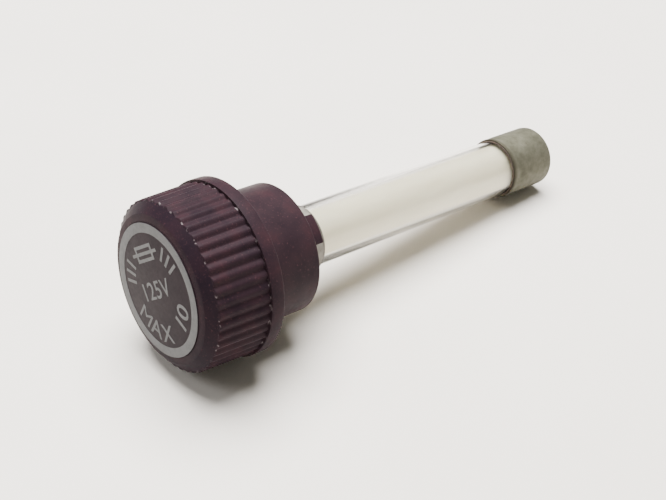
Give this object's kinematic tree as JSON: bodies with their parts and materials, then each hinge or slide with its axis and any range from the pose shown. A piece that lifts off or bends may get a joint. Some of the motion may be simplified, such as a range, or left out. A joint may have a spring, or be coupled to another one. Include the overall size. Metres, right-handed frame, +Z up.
{
  "type": "knob-type fuse carrier with cartridge fuse",
  "caption": "Fluted round fuse-carrier knob with a flange, a stepped neck and lugs, its socket gripping a slim glass cartridge fuse with metal end caps and a white inner tube.",
  "frame": {"origin": "centre of the seat, the rear face of the knob's flange, on the fuse axis", "axes": "+Y along the fuse axis from the knob to the cartridge's far end, +Z up"},
  "size_m": [0.0166, 0.0486, 0.0166],
  "materials": {
    "phenolic": "moulded, semi-gloss",
    "printed_metal": "dark printed ground with bare silver ring and lettering",
    "steel": "zinc plated",
    "brass": "satin",
    "spring_bronze": "nickel-flashed spring bronze",
    "nickel": "dull, slightly tarnished nickel plate",
    "glass": "clear, polished",
    "white_ceramic": "matt white",
    "cement": "dark brown, matt",
    "fibre": "vulcanised fibre",
    "powder": "packed powder",
    "copper": "tinned copper wire",
    "solder": "soft, dull"
  },
  "bodies": {
    "carrier": {"knob": "phenolic", "rating_disc": "printed_metal", "rivet_washer": "steel", "clip_rivet": "brass", "contact_clip": "spring_bronze", "pressure_spring": "steel"},
    "follower": {"spring_cap": "brass"},
    "cartridge": {"front_ferrule": "nickel", "rear_ferrule": "nickel", "glass_tube": "glass", "liner_tube": "white_ceramic", "front_cement": "cement", "rear_cement": "cement", "front_end_disc": "fibre", "rear_end_disc": "fibre", "arc_filler": "powder", "fuse_link": "copper", "link_bead": "solder", "front_solder": "solder", "rear_solder": "solder"}
  },
  "joints": [
    {"name": "cartridge_pull", "type": "slide", "parent": "carrier", "child": "cartridge", "axis": [0, 1, 0], "range_m": [0, 0.008]},
    {"name": "cap_press", "type": "slide", "parent": "carrier", "child": "follower", "axis": [0, -1, 0], "range_m": [0, 0.0008], "stiffness_N_per_m": 400, "springref_m": -0.001, "deforming": ["pressure_spring"]}
  ]
}
